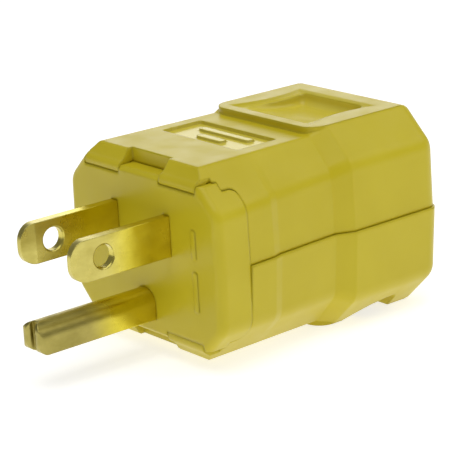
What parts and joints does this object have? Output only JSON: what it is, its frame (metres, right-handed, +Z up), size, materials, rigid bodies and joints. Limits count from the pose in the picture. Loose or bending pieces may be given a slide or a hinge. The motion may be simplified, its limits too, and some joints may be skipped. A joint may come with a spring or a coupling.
{
  "type": "straight blade grounding plug",
  "caption": "Yellow straight-blade grounding plug with a hinged two-shell casing, flat power blades, a folded ground pin, screw terminals and a clamped cord entry.",
  "frame": {"origin": "in the plane of the plug face, midway between the two power blades", "axes": "+X to the right for someone looking at the face, blades point along -Y and the casing runs back along +Y, +Z up with the ground pin below the power blades"},
  "size_m": [0.0368, 0.0676, 0.0324],
  "materials": {
    "yellow_nylon": "moulded nylon with a soft sheen",
    "black_nylon": "moulded nylon, matte",
    "brass_contact": "rolled brass, lightly tarnished",
    "plated_steel": "zinc plated",
    "brass_screw": "turned brass",
    "silver_screw": "nickel plated",
    "green_screw": "green passivated"
  },
  "bodies": {
    "face": {"face_body": "yellow_nylon", "line_blade": "brass_contact", "neutral_blade": "brass_contact", "ground_pin": "brass_contact", "contact_retainer": "black_nylon", "retainer_screw_upper": "plated_steel", "retainer_screw_lower": "plated_steel"},
    "upper_casing": {"upper_shell": "yellow_nylon", "upper_cord_jaw": "black_nylon", "case_nut_left": "brass_screw", "case_nut_right": "brass_screw"},
    "lower_casing": {"lower_shell": "yellow_nylon", "lower_cord_jaw": "black_nylon"},
    "line_clamp": {"line_clamp_plate": "plated_steel"},
    "line_screw": {"line_terminal_screw": "brass_screw"},
    "neutral_clamp": {"neutral_clamp_plate": "plated_steel"},
    "neutral_screw": {"neutral_terminal_screw": "silver_screw"},
    "ground_clamp": {"ground_clamp_plate": "plated_steel"},
    "ground_screw": {"ground_terminal_screw": "green_screw"},
    "case_washer_left": {"case_washer_left": "plated_steel"},
    "case_screw_left": {"case_screw_left": "plated_steel"},
    "case_washer_right": {"case_washer_right": "plated_steel"},
    "case_screw_right": {"case_screw_right": "plated_steel"}
  },
  "joints": [
    {"name": "upper_casing_hinge", "type": "hinge", "parent": "face", "child": "upper_casing", "pos_m": [0, 0.0013, 0.00825], "axis": [1, 0, 0], "range_deg": [0, 85]},
    {"name": "lower_casing_hinge", "type": "hinge", "parent": "face", "child": "lower_casing", "pos_m": [0, 0.0013, -0.01621], "axis": [-1, 0, 0], "range_deg": [0, 85]},
    {"name": "line_terminal_slide", "type": "slide", "parent": "face", "child": "line_clamp", "axis": [1, 0, 0], "range_m": [0, 0.0024]},
    {"name": "line_terminal_turn", "type": "hinge", "parent": "line_clamp", "child": "line_screw", "pos_m": [-0.0106, 0.009, 0], "axis": [1, 0, 0], "range_deg": [0, 1089]},
    {"name": "neutral_terminal_slide", "type": "slide", "parent": "face", "child": "neutral_clamp", "axis": [-1, 0, 0], "range_m": [0, 0.0024]},
    {"name": "neutral_terminal_turn", "type": "hinge", "parent": "neutral_clamp", "child": "neutral_screw", "pos_m": [0.0106, 0.009, 0], "axis": [-1, 0, 0], "range_deg": [0, 1089]},
    {"name": "ground_terminal_slide", "type": "slide", "parent": "face", "child": "ground_clamp", "axis": [0, 0, 1], "range_m": [0, 0.0024]},
    {"name": "ground_terminal_turn", "type": "hinge", "parent": "ground_clamp", "child": "ground_screw", "pos_m": [0, 0.009, -0.0135], "axis": [0, 0, 1], "range_deg": [0, 1089]},
    {"name": "case_screw_left_slide", "type": "slide", "parent": "lower_casing", "child": "case_washer_left", "axis": [0, 0, 1], "range_m": [0, 0.005]},
    {"name": "case_screw_left_turn", "type": "hinge", "parent": "case_washer_left", "child": "case_screw_left", "pos_m": [-0.011, 0.035, -0.0146], "axis": [0, 0, 1], "range_deg": [0, 2268]},
    {"name": "case_screw_right_slide", "type": "slide", "parent": "lower_casing", "child": "case_washer_right", "axis": [0, 0, 1], "range_m": [0, 0.005]},
    {"name": "case_screw_right_turn", "type": "hinge", "parent": "case_washer_right", "child": "case_screw_right", "pos_m": [0.011, 0.035, -0.0146], "axis": [0, 0, 1], "range_deg": [0, 2268]}
  ],
  "couplings": [
    {"joint": "line_terminal_turn", "follows": "line_terminal_slide", "rad_per_m": 7913.3},
    {"joint": "neutral_terminal_turn", "follows": "neutral_terminal_slide", "rad_per_m": 7913.3},
    {"joint": "ground_terminal_turn", "follows": "ground_terminal_slide", "rad_per_m": 7913.3},
    {"joint": "case_screw_left_turn", "follows": "case_screw_left_slide", "rad_per_m": 7913.3},
    {"joint": "case_screw_right_turn", "follows": "case_screw_right_slide", "rad_per_m": 7913.3}
  ]
}
